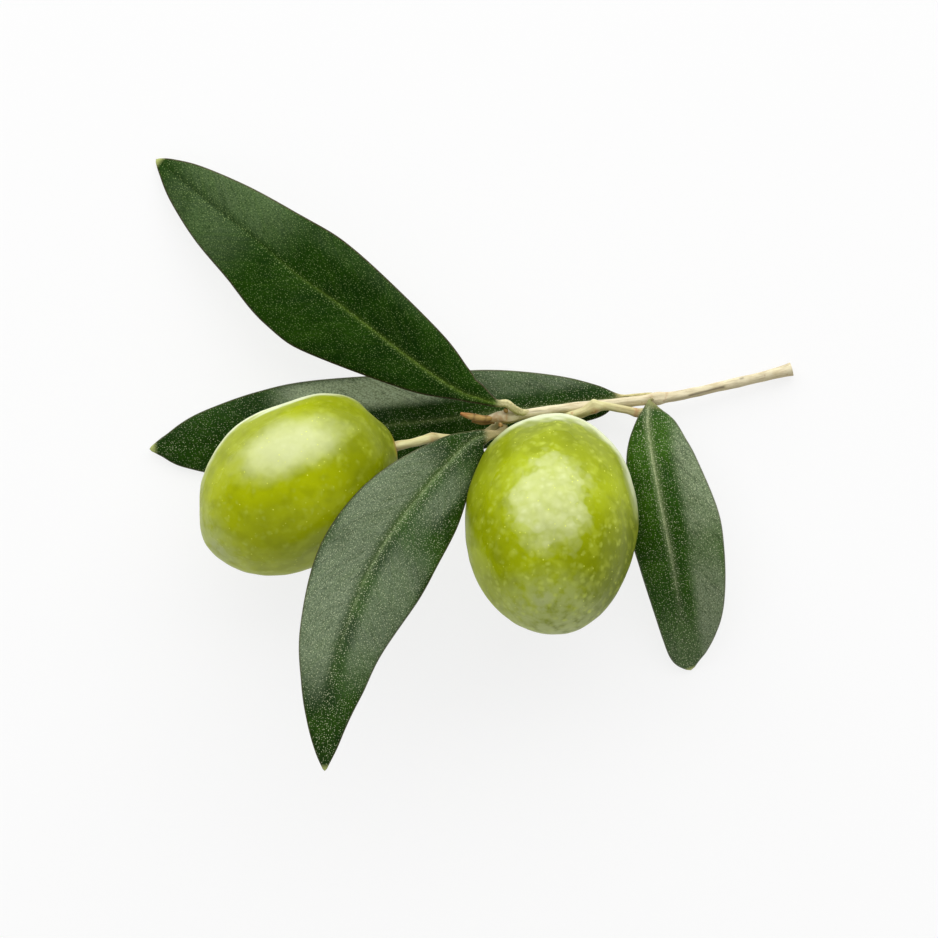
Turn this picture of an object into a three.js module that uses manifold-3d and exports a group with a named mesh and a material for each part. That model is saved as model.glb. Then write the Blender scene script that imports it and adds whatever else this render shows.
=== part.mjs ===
// A cut olive twig with four leaves and two green olives, lying on a table.
// Millimetres, +Z up. The table is z = 0 and the origin is the middle of the underside of the
// whole branch's box. The twig's cut end is at +X, and +Z is the side seen from above.

import * as THREE from 'three';
import Module from 'manifold-3d';
import { ParametricGeometry } from 'three/addons/geometries/ParametricGeometry.js';
import { mergeVertices } from 'three/addons/utils/BufferGeometryUtils.js';

const wasm = await Module();
wasm.setup();

// ---------------------------------------------------------------- driving dimensions

// Olives: half length along the stone's axis and the radius at the waist.
const LEFT_OLIVE_HALF_LENGTH = 13.3;
const LEFT_OLIVE_RADIUS = 10.2;
const RIGHT_OLIVE_HALF_LENGTH = 15.0;
const RIGHT_OLIVE_RADIUS = 10.8;

// Where the olives lie. The left one lies on the back leaf, the right one on the table.
const LEFT_OLIVE_CENTRE = [-21.9, -2.65, 10.95];
const LEFT_OLIVE_BEARING = 216;
const LEFT_OLIVE_RISE = 0;
const RIGHT_OLIVE_CENTRE = [10.0, -7.45, 12.25];
const RIGHT_OLIVE_BEARING = 269;
const RIGHT_OLIVE_RISE = 35;

// Shape of an olive's end: how far the tip is drawn out, and the hollow where the stalk sits.
const TIP_DRAW = 0.03;
const STALK_HOLLOW_DEPTH = 0.5;
const STALK_HOLLOW_REACH = 0.16;

// Fineness of the solids.
const OLIVE_SIDES = 32;
const OLIVE_STEPS = 20;
const LEAF_SIDES = 20;
const LEAF_RINGS_PER_STATION = 3;
const TUBE_SIDES = 12;
const TUBE_RING_SPACING = 0.8;
const BUD_SIDES = 8;
const BUD_RING_SPACING = 0.4;

// Block that stands for the table when the right olive is flattened where it bears on it.
const TABLE_SIZE = 60;

// Twig and stalks: x, y, z of the axis and the radius there.
const TWIG = [
  [40.1, 11.8, 0.87, 0.86],
  [38.6, 11.4, 1.03, 0.70],
  [33.6, 10.2, 1.55, 0.62],
  [28.6, 9.05, 2.1, 0.60],
  [24.8, 8.35, 2.55, 0.66],
  [23.2, 8.1, 2.75, 0.84],
  [21.4, 7.85, 3.0, 0.66],
  [16.1, 7.3, 3.65, 0.62],
  [11.1, 6.8, 4.4, 0.62],
  [6.6, 6.15, 5.5, 0.66],
  [4.9, 5.85, 5.95, 0.92],
  [3.7, 5.8, 6.3, 0.78],
];
const RIGHT_FRUIT_STALK = [
  [10.3, 5.55, 3.2, 0.60],
  [11.4, 5.75, 3.9, 0.55],
  [12.9, 6.0, 4.95, 0.52],
  [15.4, 7.0, 5.2, 0.74],
  [17.3, 7.15, 5.25, 0.52],
  [19.4, 6.75, 4.75, 0.52],
  [20.8, 6.3, 4.0, 0.62],
  [21.7, 6.45, 3.2, 0.55],
];
const LEFT_FRUIT_STALK = [
  [3.3, 4.85, 5.0, 0.50],
  [1.5, 3.6, 5.2, 0.48],
  [-1.0, 3.1, 6.3, 0.48],
  [-4.9, 3.15, 8.9, 0.64],
  [-7.0, 2.65, 10.1, 0.52],
  [-9.3, 2.1, 10.7, 0.56],
];

// Buds: the two small leaves of the terminal bud and one bud in the axil of each tip leaf.
const LONG_BUD_LEAF = [
  [3.0, 5.75, 6.55, 0.30],
  [1.6, 5.6, 6.9, 0.42],
  [0.0, 5.85, 7.1, 0.40],
  [-1.3, 6.3, 7.3, 0.10],
];
const SHORT_BUD_LEAF = [
  [2.8, 5.15, 6.2, 0.22],
  [1.4, 5.1, 6.15, 0.30],
  [0.1, 5.25, 6.25, 0.10],
];
const UPPER_AXILLARY_BUD = [
  [4.35, 6.5, 7.05, 0.14],
  [4.3, 6.65, 7.25, 0.28],
  [4.2, 6.8, 7.45, 0.10],
];
const LOWER_AXILLARY_BUD = [
  [3.75, 4.95, 7.05, 0.14],
  [3.7, 4.8, 7.2, 0.32],
  [3.6, 4.6, 7.4, 0.12],
];

// Leaves, from the petiole to the tip: x, y, z of the midrib, the reach of the left and right margin
// from it as seen from above, how far each margin stands over it, how far each half is crowned, and
// the thickness.
const UPPER_LEAF = [
  [5.5, 6.65, 7.35, 0.45, 0.45, 0, 0, 0, 0, 0.9],
  [4.4, 7.5, 7.5, 0.5, 0.5, 0, 0, 0, 0, 1.0],
  [3.0, 7.55, 7.5, 0.5, 0.55, 0, 0, 0, 0, 0.9],
  [0.8, 8.2, 7.5, 0.75, 1.8, 0, 0.2, 0, 0.1, 0.7],
  [-1.4, 9.0, 7.5, 1.2, 2.85, 0, 0.3, 0.05, 0.2, 0.6],
  [-6.4, 12.2, 7.7, 3.6, 4.85, -0.1, 0.4, 0.2, 0.35, 0.5],
  [-16.4, 19.8, 7.6, 7.35, 6.45, -0.3, 0.5, 0.35, 0.5, 0.5],
  [-21.4, 23.3, 7.0, 7.35, 6.85, -0.3, 0.5, 0.35, 0.5, 0.5],
  [-26.4, 27.5, 5.8, 6.15, 5.7, -0.2, 0.4, 0.3, 0.45, 0.5],
  [-31.4, 31.4, 4.0, 4.8, 4.6, -0.1, 0.3, 0.25, 0.35, 0.5],
  [-35.8, 35.0, 2.1, 2.9, 2.95, 0, 0.2, 0.15, 0.2, 0.5],
  [-38.3, 37.1, 0.9, 1.2, 1.35, 0, 0.05, 0.05, 0.05, 0.4],
  [-39.5, 38.1, 0.4, 0.15, 0.15, 0, 0, 0, 0, 0.3],
];
const BACK_LEAF = [
  [22.4, 8.65, 1.95, 0.25, 0.25, 0, 0, 0, 0, 0.5],
  [20.5, 8.5, 2.05, 0.25, 0.25, 0, 0, 0, 0, 0.5],
  [18.6, 8.4, 1.9, 0.3, 0.3, 0, 0, 0, 0, 0.5],
  [16.1, 8.0, 1.8, 2.1, 1.8, -0.25, -0.35, 0.05, 0.05, 0.5],
  [11.1, 7.4, 1.65, 2.85, 3.65, -0.5, -0.8, 0.1, 0.1, 0.5],
  [3.6, 6.5, 1.6, 3.95, 5.27, -0.8, -1.15, 0.15, 0.2, 0.5],
  [-3.9, 5.5, 1.6, 4.95, 5.97, -1.1, -1.3, 0.15, 0.25, 0.5],
  [-18.9, 3.9, 1.45, 5.6, 6.57, -1.3, -1.2, 0, 0.25, 0.5],
  [-26.4, 3.1, 1.35, 5.1, 5.87, -1.1, -1.0, 0.05, 0.25, 0.5],
  [-32.5, 2.5, 1.25, 3.9, 4.35, -0.6, -0.6, 0.15, 0.2, 0.5],
  [-36.4, 2.0, 1.15, 2.45, 2.85, -0.3, -0.3, 0.1, 0.1, 0.5],
  [-38.7, 1.9, 1.15, 1.1, 1.35, -0.1, -0.1, 0.05, 0.05, 0.4],
  [-40.3, 1.8, 1.2, 0.15, 0.15, 0, 0, 0, 0, 0.3],
];
const FRONT_LEAF = [
  [4.0, 4.35, 6.0, 0.42, 0.42, 0, 0, 0, 0, 0.85],
  [3.2, 3.75, 6.8, 0.45, 0.45, 0, 0, 0, 0, 0.9],
  [1.9, 3.5, 7.6, 0.9, 0.75, 0, 0, 0, 0, 0.8],
  [0.5, 3.1, 8.4, 2.15, 1.15, -0.2, 0.2, 0.05, 0, 0.6],
  [-2.0, 1.0, 10.6, 3.2, 2.95, -0.4, 0.7, 0.15, 0.05, 0.5],
  [-6.4, -4.0, 15.2, 6.0, 5.4, -0.3, 0.9, 0.45, 0.2, 0.5],
  [-10.2, -9.0, 18.7, 7.1, 6.65, -0.2, 1.0, 0.65, 0.2, 0.5],
  [-13.2, -14.4, 21.2, 7.1, 6.8, -0.1, 0.2, 0.65, 0.2, 0.5],
  [-16.1, -22.0, 24.2, 5.3, 5.45, 0.1, 0, 0.5, 0.2, 0.5],
  [-17.5, -27.6, 25.6, 4.2, 3.75, 0.2, 0, 0.35, 0.15, 0.5],
  [-18.1, -32.0, 26.2, 2.8, 2.4, 0.2, 0.1, 0.2, 0.1, 0.5],
  [-18.3, -35.5, 26.3, 1.6, 1.2, 0.1, 0.1, 0.1, 0.05, 0.4],
  [-18.2, -38.2, 25.9, 0.15, 0.15, 0, 0, 0, 0, 0.3],
];
const RIGHT_LEAF = [
  [22.4, 7.8, 4.4, 0.4, 0.35, 0, 0, 0, 0, 0.7],
  [22.1, 6.6, 4.9, 2.45, 0.7, 0.1, 0, 0.05, 0, 0.6],
  [22.04, 5.2, 5.2, 3.4, 1.54, 0.2, -0.2, 0.15, 0.05, 0.55],
  [22.3, 2.9, 5.7, 4.35, 2.7, 0.4, -0.6, 0.25, 0.1, 0.5],
  [22.8, -0.2, 6.4, 5.4, 3.5, 0.6, -1.0, 0.4, 0.2, 0.5],
  [24.1, -7.1, 7.3, 6.85, 4.5, 0.8, -1.5, 0.5, 0.3, 0.5],
  [25.1, -12.1, 6.9, 6.65, 4.2, 0.8, -1.4, 0.5, 0.3, 0.5],
  [26.0, -17.6, 5.2, 5.75, 3.4, 0.6, -0.9, 0.4, 0.2, 0.5],
  [26.5, -21.6, 3.2, 4.3, 2.6, 0.4, -0.5, 0.3, 0.15, 0.5],
  [27.0, -24.3, 1.5, 2.4, 1.9, 0.2, -0.2, 0.1, 0.1, 0.5],
  [27.5, -25.9, 0.35, 0.3, 0.3, 0, 0, 0, 0, 0.4],
];

// ---------------------------------------------------------------- finishes

const bark = new THREE.MeshStandardMaterial({ color: 0xb3a68c, roughness: 0.85, metalness: 0 });
const leafSkin = new THREE.MeshStandardMaterial({ color: 0x3f5420, roughness: 0.45, metalness: 0 });
const oliveSkin = new THREE.MeshStandardMaterial({ color: 0x9ca51e, roughness: 0.35, metalness: 0 });
const stalkSkin = new THREE.MeshStandardMaterial({ color: 0xa9ab62, roughness: 0.6, metalness: 0 });
const budSkin = new THREE.MeshStandardMaterial({ color: 0xa86a35, roughness: 0.8, metalness: 0 });

// ---------------------------------------------------------------- shapes

/** A smooth curve through three of the columns of a table of stations. */
function curveThrough(stations, columns) {
  const points = stations.map((row) => new THREE.Vector3(...columns.map((column) => row[column])));
  return new THREE.CatmullRomCurve3(points, false, 'catmullrom', 0.5);
}

/** Drops everything but the positions, joins the ones that coincide and drops collapsed faces. */
function weld(geometry) {
  geometry.deleteAttribute('normal');
  geometry.deleteAttribute('uv');
  const welded = mergeVertices(geometry, 1e-4);
  const corners = welded.index.array;
  const kept = [];
  for (let face = 0; face < corners.length; face += 3) {
    const [a, b, c] = corners.slice(face, face + 3);
    if (a !== b && b !== c && c !== a) {
      kept.push(a, b, c);
    }
  }
  welded.setIndex(kept);
  welded.computeVertexNormals();
  return welded;
}

/**
 * A closed skin of rings laid along a piece, with a fan over each end.
 * ringPoint(along, angle, target) sets a point of the ring, and axisPoint(along, target) its middle.
 */
function ringedSolid(ringPoint, axisPoint, rings, sides) {
  const rows = rings + 1;
  const skin = (across, down, target) => {
    const row = Math.round(down * rows);
    const along = THREE.MathUtils.clamp((row - 1) / (rings - 1), 0, 1);
    if (row === 0 || row === rows) {
      axisPoint(along, target);
    } else {
      ringPoint(along, across * 2 * Math.PI, target);
    }
  };
  return weld(new ParametricGeometry(skin, sides, rows));
}

/** A round stem that follows stations of x, y, z and radius. */
function stemGeometry(stations, spacing, sides) {
  const axis = curveThrough(stations, [0, 1, 2]);
  const girth = curveThrough(stations, [3, 3, 3]);
  const rings = Math.ceil(axis.getLength() / spacing) + 1;
  const frames = axis.computeFrenetFrames(rings - 1, false);
  const axisPoint = (along, target) => axis.getPointAt(along, target);
  const ringPoint = (along, angle, target) => {
    const ring = Math.round(along * (rings - 1));
    const radius = girth.getPoint(axis.getUtoTmapping(along)).x;
    axisPoint(along, target);
    target.addScaledVector(frames.normals[ring], radius * Math.cos(angle));
    target.addScaledVector(frames.binormals[ring], radius * Math.sin(angle));
  };
  return ringedSolid(ringPoint, axisPoint, rings, sides);
}

/** A leaf and its petiole: a lens-shaped section folded along the midrib, each half crowned. */
function leafGeometry(stations) {
  const midrib = curveThrough(stations, [0, 1, 2]);
  const reach = curveThrough(stations, [3, 4, 9]);
  const lift = curveThrough(stations, [5, 6, 6]);
  const crown = curveThrough(stations, [7, 8, 8]);
  const rings = (stations.length - 1) * LEAF_RINGS_PER_STATION + 1;
  const axisPoint = (along, target) => midrib.getPoint(along, target);
  const ringPoint = (along, angle, target) => {
    const heading = midrib.getTangent(along);
    const toLeft = new THREE.Vector3(-heading.y, heading.x, 0).normalize();
    const { x: leftReach, y: rightReach, z: thickness } = reach.getPoint(along);
    const { x: leftLift, y: rightLift } = lift.getPoint(along);
    const { x: leftCrown, y: rightCrown } = crown.getPoint(along);
    const across = Math.cos(angle);
    const out = Math.abs(across);
    const isLeft = across > 0;
    axisPoint(along, target);
    target.addScaledVector(toLeft, across * (isLeft ? leftReach : rightReach));
    target.z += out * (isLeft ? leftLift : rightLift);
    target.z += 4 * out * (1 - out) * (isLeft ? leftCrown : rightCrown);
    target.z += (thickness / 2) * Math.sin(angle);
  };
  return ringedSolid(ringPoint, axisPoint, rings, LEAF_SIDES);
}

/** An olive turned about its long axis, +Y towards the tip, with a hollow where the stalk sits. */
function oliveGeometry(halfLength, radius) {
  const profile = [];
  for (let step = 0; step <= OLIVE_STEPS; step += 1) {
    const along = -Math.cos((step / OLIVE_STEPS) * Math.PI);
    const girth = Math.sqrt(1 - along * along);
    const hollow = along < 0 ? STALK_HOLLOW_DEPTH * Math.exp(-((girth / STALK_HOLLOW_REACH) ** 2)) : 0;
    const drawn = along > 0 ? along + TIP_DRAW * (along ** 8) : along;
    profile.push(new THREE.Vector2(Math.max(girth, 0) * radius, drawn * halfLength + hollow));
  }
  profile[0].x = 0;
  profile[OLIVE_STEPS].x = 0;
  return weld(new THREE.LatheGeometry(profile, OLIVE_SIDES));
}

/** A manifold solid from a welded closed geometry. */
function toManifold(geometry) {
  const vertProperties = Float32Array.from(geometry.attributes.position.array);
  const triVerts = Uint32Array.from(geometry.index.array);
  return new wasm.Manifold(new wasm.Mesh({ numProp: 3, vertProperties, triVerts }));
}

/** A geometry from a manifold solid. */
function fromManifold(solid) {
  const { vertProperties, triVerts } = solid.getMesh();
  const geometry = new THREE.BufferGeometry();
  geometry.setAttribute('position', new THREE.BufferAttribute(Float32Array.from(vertProperties), 3));
  geometry.setIndex(new THREE.BufferAttribute(Uint32Array.from(triVerts), 1));
  geometry.computeVertexNormals();
  return geometry;
}

// ---------------------------------------------------------------- pieces

const branch = new THREE.Group();
branch.name = 'olive_branch';

function addPiece(name, geometry, material) {
  const piece = new THREE.Mesh(geometry, material.clone());
  piece.name = name;
  branch.add(piece);
  return piece;
}

/** Adds an olive with its tip towards a compass bearing, raised by an angle from the table. */
function addOlive(name, halfLength, radius, centre, bearing, rise) {
  const olive = addPiece(name, oliveGeometry(halfLength, radius), oliveSkin);
  const flat = Math.cos(THREE.MathUtils.degToRad(rise));
  const tip = new THREE.Vector3(
    flat * Math.cos(THREE.MathUtils.degToRad(bearing)),
    flat * Math.sin(THREE.MathUtils.degToRad(bearing)),
    Math.sin(THREE.MathUtils.degToRad(rise)),
  );
  olive.quaternion.setFromUnitVectors(new THREE.Vector3(0, 1, 0), tip);
  olive.position.set(...centre);
  return olive;
}

/** Cuts away what would sink into the table, which leaves the small flat that the olive rests on. */
function flattenUnderneath(piece) {
  piece.updateMatrix();
  const table = new THREE.BoxGeometry(TABLE_SIZE, TABLE_SIZE, TABLE_SIZE);
  table.translate(piece.position.x, piece.position.y, -TABLE_SIZE / 2);
  table.applyMatrix4(piece.matrix.clone().invert());
  const cut = toManifold(piece.geometry).subtract(toManifold(weld(table)));
  piece.geometry = fromManifold(cut);
}

addPiece('twig', stemGeometry(TWIG, TUBE_RING_SPACING, TUBE_SIDES), bark);

addPiece('upper_leaf', leafGeometry(UPPER_LEAF), leafSkin);
addPiece('back_leaf', leafGeometry(BACK_LEAF), leafSkin);
addPiece('front_leaf', leafGeometry(FRONT_LEAF), leafSkin);
addPiece('right_leaf', leafGeometry(RIGHT_LEAF), leafSkin);

addOlive(
  'left_olive', LEFT_OLIVE_HALF_LENGTH, LEFT_OLIVE_RADIUS,
  LEFT_OLIVE_CENTRE, LEFT_OLIVE_BEARING, LEFT_OLIVE_RISE,
);
const rightOlive = addOlive(
  'right_olive', RIGHT_OLIVE_HALF_LENGTH, RIGHT_OLIVE_RADIUS,
  RIGHT_OLIVE_CENTRE, RIGHT_OLIVE_BEARING, RIGHT_OLIVE_RISE,
);
flattenUnderneath(rightOlive);

addPiece('left_fruit_stalk', stemGeometry(LEFT_FRUIT_STALK, TUBE_RING_SPACING, TUBE_SIDES), stalkSkin);
addPiece('right_fruit_stalk', stemGeometry(RIGHT_FRUIT_STALK, TUBE_RING_SPACING, TUBE_SIDES), stalkSkin);

addPiece('long_bud_leaf', stemGeometry(LONG_BUD_LEAF, BUD_RING_SPACING, BUD_SIDES), budSkin);
addPiece('short_bud_leaf', stemGeometry(SHORT_BUD_LEAF, BUD_RING_SPACING, BUD_SIDES), budSkin);
addPiece('upper_axillary_bud', stemGeometry(UPPER_AXILLARY_BUD, BUD_RING_SPACING, BUD_SIDES), budSkin);
addPiece('lower_axillary_bud', stemGeometry(LOWER_AXILLARY_BUD, BUD_RING_SPACING, BUD_SIDES), budSkin);

export default branch;
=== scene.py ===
"""A cut olive twig with four leaves and two green olives, lying on a pale table.

The tables of stations are in millimetres and repeat those of the solids, so that each detailed
piece lies where its solid does. Meshes are in metres, +Z is up and the table is z = 0.
"""

import logging
import math
from collections.abc import Iterator
from dataclasses import dataclass
from enum import Enum

import bmesh
import bpy
import numpy as np
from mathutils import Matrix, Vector


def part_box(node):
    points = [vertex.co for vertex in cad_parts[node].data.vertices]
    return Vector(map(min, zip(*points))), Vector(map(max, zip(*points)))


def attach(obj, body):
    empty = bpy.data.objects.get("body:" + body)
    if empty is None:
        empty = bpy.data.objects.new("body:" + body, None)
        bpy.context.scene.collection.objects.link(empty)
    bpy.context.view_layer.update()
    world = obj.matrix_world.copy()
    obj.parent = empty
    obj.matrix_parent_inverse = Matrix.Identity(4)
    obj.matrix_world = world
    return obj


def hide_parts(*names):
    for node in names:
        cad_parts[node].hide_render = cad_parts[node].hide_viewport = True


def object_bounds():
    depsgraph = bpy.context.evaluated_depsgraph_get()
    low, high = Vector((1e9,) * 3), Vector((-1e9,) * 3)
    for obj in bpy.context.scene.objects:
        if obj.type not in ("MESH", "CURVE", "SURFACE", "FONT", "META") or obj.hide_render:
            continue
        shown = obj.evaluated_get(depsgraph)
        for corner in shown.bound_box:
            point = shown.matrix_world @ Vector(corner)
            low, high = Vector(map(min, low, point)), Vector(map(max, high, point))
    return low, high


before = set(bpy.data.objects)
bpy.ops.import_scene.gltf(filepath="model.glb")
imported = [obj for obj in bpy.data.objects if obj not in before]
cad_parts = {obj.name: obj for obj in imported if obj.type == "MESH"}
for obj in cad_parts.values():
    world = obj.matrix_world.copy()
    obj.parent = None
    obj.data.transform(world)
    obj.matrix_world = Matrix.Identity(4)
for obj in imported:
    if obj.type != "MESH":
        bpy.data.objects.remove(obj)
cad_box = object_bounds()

LOG = logging.getLogger("olive_branch")

Rows = tuple[tuple[float, ...], ...]
Place = tuple[float, float, float]
Colour = tuple[float, float, float, float]
Socket = bpy.types.NodeSocket
Value = Socket | float | Place | Colour
Feeds = dict[str | int, Value]
Material = bpy.types.Material
Shape = bmesh.types.BMesh
Array = np.ndarray

MM = 0.001
BODY = "root"
SEAM = 1e-8
TINY = 1e-9
WHITE: Colour = (1.0, 1.0, 1.0, 1.0)


class Slot(Enum):
    """The record's material slots."""

    BARK = "bark"
    LEAF = "leaf"
    OLIVE = "olive_skin"
    STALK = "stalk"
    BUD = "bud"


# ------------------------------------------------------------------ stations

# Twig and stalks: x, y, z of the axis and the radius there.
TWIG: Rows = (
    (40.1, 11.8, 0.87, 0.86),
    (38.6, 11.4, 1.03, 0.70),
    (33.6, 10.2, 1.55, 0.62),
    (28.6, 9.05, 2.1, 0.60),
    (24.8, 8.35, 2.55, 0.66),
    (23.2, 8.1, 2.75, 0.84),
    (21.4, 7.85, 3.0, 0.66),
    (16.1, 7.3, 3.65, 0.62),
    (11.1, 6.8, 4.4, 0.62),
    (6.6, 6.15, 5.5, 0.66),
    (4.9, 5.85, 5.95, 0.92),
    (3.7, 5.8, 6.3, 0.78),
    (2.9, 5.72, 6.5, 0.55),
    (2.1, 5.65, 6.65, 0.34),
)
RIGHT_STALK: Rows = (
    (10.3, 5.55, 3.2, 0.62),
    (11.4, 5.75, 3.9, 0.60),
    (12.9, 6.05, 4.85, 0.62),
    (14.0, 6.4, 5.15, 0.62),
    (15.4, 7.05, 5.2, 0.78),
    (16.4, 7.15, 5.3, 0.56),
    (17.3, 7.1, 5.25, 0.47),
    (19.4, 6.7, 4.75, 0.48),
    (20.8, 6.35, 4.1, 0.60),
    (21.7, 6.45, 3.2, 0.55),
)
LEFT_STALK: Rows = (
    (3.3, 4.85, 5.0, 0.50),
    (1.5, 3.6, 5.2, 0.48),
    (-1.0, 3.1, 6.3, 0.48),
    (-3.2, 3.15, 7.9, 0.50),
    (-4.8, 3.15, 8.9, 0.62),
    (-6.0, 2.9, 9.6, 0.58),
    (-7.6, 2.5, 10.3, 0.58),
    (-9.4, 2.1, 10.75, 0.58),
)

# Buds: the two small leaves of the terminal bud and one bud in the axil of each tip leaf.
LONG_BUD_LEAF: Rows = (
    (3.0, 5.75, 6.55, 0.30),
    (1.6, 5.6, 6.9, 0.43),
    (0.0, 5.85, 7.1, 0.44),
    (-1.25, 6.25, 7.3, 0.24),
)
SHORT_BUD_LEAF: Rows = (
    (2.8, 5.15, 6.2, 0.22),
    (1.4, 5.1, 6.15, 0.30),
    (0.1, 5.25, 6.25, 0.08),
)
UPPER_BUD: Rows = (
    (4.35, 6.5, 7.0, 0.16),
    (4.3, 6.65, 7.25, 0.30),
    (4.2, 6.8, 7.45, 0.08),
)
LOWER_BUD: Rows = (
    (3.75, 4.95, 7.0, 0.18),
    (3.7, 4.8, 7.2, 0.33),
    (3.6, 4.6, 7.4, 0.10),
)

# Leaves, from the petiole to the tip: x, y, z of the midrib, the reach of the left and right
# margin from it as seen from above, how far each margin stands over it, how far each half is
# crowned, and the thickness. The first station lies in the twig.
UPPER_LEAF: Rows = (
    (7.6, 6.4, 5.3, 0.3, 0.3, 0, 0, 0, 0, 0.6),
    (6.3, 6.4, 6.25, 0.45, 0.45, 0, 0, 0, 0, 0.9),
    (5.3, 6.85, 7.2, 0.48, 0.48, 0, 0, 0, 0, 0.95),
    (4.4, 7.5, 7.5, 0.5, 0.5, 0, 0, 0, 0, 1.0),
    (3.0, 7.55, 7.5, 0.5, 0.55, 0, 0, 0, 0, 0.9),
    (0.8, 8.2, 7.5, 0.75, 1.8, 0, 0.2, 0, 0.1, 0.7),
    (-1.4, 9.0, 7.5, 1.2, 2.85, 0, 0.3, 0.05, 0.2, 0.6),
    (-6.4, 12.2, 7.7, 3.6, 4.85, -0.1, 0.4, 0.2, 0.35, 0.5),
    (-16.4, 19.8, 7.6, 7.35, 6.45, -0.3, 0.5, 0.35, 0.5, 0.5),
    (-21.4, 23.3, 7.0, 7.35, 6.85, -0.3, 0.5, 0.35, 0.5, 0.5),
    (-26.4, 27.5, 5.8, 6.15, 5.7, -0.2, 0.4, 0.3, 0.45, 0.5),
    (-31.4, 31.4, 4.0, 4.8, 4.6, -0.1, 0.3, 0.25, 0.35, 0.5),
    (-35.8, 35.0, 2.1, 2.9, 2.95, 0, 0.2, 0.15, 0.2, 0.5),
    (-38.3, 37.1, 0.9, 1.2, 1.35, 0, 0.05, 0.05, 0.05, 0.4),
    (-39.5, 38.1, 0.4, 0.15, 0.15, 0, 0, 0, 0, 0.3),
)
BACK_LEAF: Rows = (
    (23.2, 8.4, 2.3, 0.25, 0.25, 0, 0, 0, 0, 0.5),
    (22.4, 8.65, 1.95, 0.25, 0.25, 0, 0, 0, 0, 0.5),
    (20.5, 8.5, 2.05, 0.25, 0.25, 0, 0, 0, 0, 0.5),
    (18.6, 8.4, 1.9, 0.3, 0.3, 0, 0, 0, 0, 0.5),
    (16.1, 8.0, 1.8, 2.1, 1.8, -0.25, -0.35, 0.05, 0.05, 0.5),
    (11.1, 7.4, 1.65, 2.85, 3.65, -0.5, -0.8, 0.1, 0.1, 0.5),
    (3.6, 6.5, 1.6, 3.95, 5.27, -0.8, -1.15, 0.15, 0.2, 0.5),
    (-3.9, 5.5, 1.6, 4.95, 5.97, -1.1, -1.3, 0.15, 0.25, 0.5),
    (-18.9, 3.9, 1.45, 5.6, 6.57, -1.3, -1.2, 0, 0.25, 0.5),
    (-26.4, 3.1, 1.35, 5.1, 5.87, -1.1, -1.0, 0.05, 0.25, 0.5),
    (-32.5, 2.5, 1.25, 3.9, 4.35, -0.6, -0.6, 0.15, 0.2, 0.5),
    (-36.4, 2.0, 1.15, 2.45, 2.85, -0.3, -0.3, 0.1, 0.1, 0.5),
    (-38.7, 1.9, 1.15, 1.1, 1.35, -0.1, -0.1, 0.05, 0.05, 0.4),
    (-40.3, 1.8, 1.2, 0.15, 0.15, 0, 0, 0, 0, 0.3),
)
FRONT_LEAF: Rows = (
    (4.3, 5.0, 5.9, 0.38, 0.38, 0, 0, 0, 0, 0.8),
    (4.0, 4.35, 6.0, 0.42, 0.42, 0, 0, 0, 0, 0.85),
    (3.2, 3.75, 6.8, 0.45, 0.45, 0, 0, 0, 0, 0.9),
    (1.9, 3.5, 7.6, 0.9, 0.75, 0, 0, 0, 0, 0.8),
    (0.5, 3.1, 8.4, 2.15, 1.15, -0.2, 0.2, 0.05, 0, 0.6),
    (-2.0, 1.0, 10.6, 3.4, 2.95, -0.4, 0.7, 0.15, 0.05, 0.5),
    (-6.4, -4.0, 15.2, 6.1, 5.5, -0.3, 0.9, 0.45, 0.2, 0.5),
    (-10.2, -9.0, 18.7, 7.1, 6.65, -0.2, 1.0, 0.65, 0.2, 0.5),
    (-13.2, -14.4, 21.2, 7.1, 6.8, -0.1, 0.2, 0.65, 0.2, 0.5),
    (-16.1, -22.0, 24.2, 5.3, 5.45, 0.1, 0, 0.5, 0.2, 0.5),
    (-17.5, -27.6, 25.6, 4.2, 3.75, 0.2, 0, 0.35, 0.15, 0.5),
    (-18.1, -32.0, 26.2, 2.8, 2.4, 0.2, 0.1, 0.2, 0.1, 0.5),
    (-18.3, -35.5, 26.3, 1.6, 1.2, 0.1, 0.1, 0.1, 0.05, 0.4),
    (-18.2, -38.2, 25.9, 0.15, 0.15, 0, 0, 0, 0, 0.3),
)
RIGHT_LEAF: Rows = (
    (22.6, 7.8, 3.3, 0.4, 0.35, 0, 0, 0, 0, 0.7),
    (22.4, 7.8, 4.4, 0.4, 0.35, 0, 0, 0, 0, 0.7),
    (22.1, 6.6, 4.9, 2.45, 0.7, 0.1, 0, 0.05, 0, 0.6),
    (22.04, 5.2, 5.2, 3.4, 1.54, 0.2, -0.2, 0.15, 0.05, 0.55),
    (22.3, 2.9, 5.7, 4.35, 2.7, 0.4, -0.6, 0.25, 0.1, 0.5),
    (22.8, -0.2, 6.4, 5.4, 3.5, 0.6, -1.0, 0.4, 0.2, 0.5),
    (24.1, -7.1, 7.3, 6.85, 4.5, 0.8, -1.5, 0.5, 0.3, 0.5),
    (25.1, -12.1, 6.9, 6.65, 4.2, 0.8, -1.4, 0.5, 0.3, 0.5),
    (26.0, -17.6, 5.2, 5.75, 3.4, 0.6, -0.9, 0.4, 0.2, 0.5),
    (26.5, -21.6, 3.2, 4.3, 2.6, 0.4, -0.5, 0.3, 0.15, 0.5),
    (27.0, -24.3, 1.5, 2.4, 1.9, 0.2, -0.2, 0.1, 0.1, 0.5),
    (27.5, -25.9, 0.35, 0.3, 0.3, 0, 0, 0, 0, 0.4),
)


# ------------------------------------------------------------------ curves and unevenness


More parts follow.
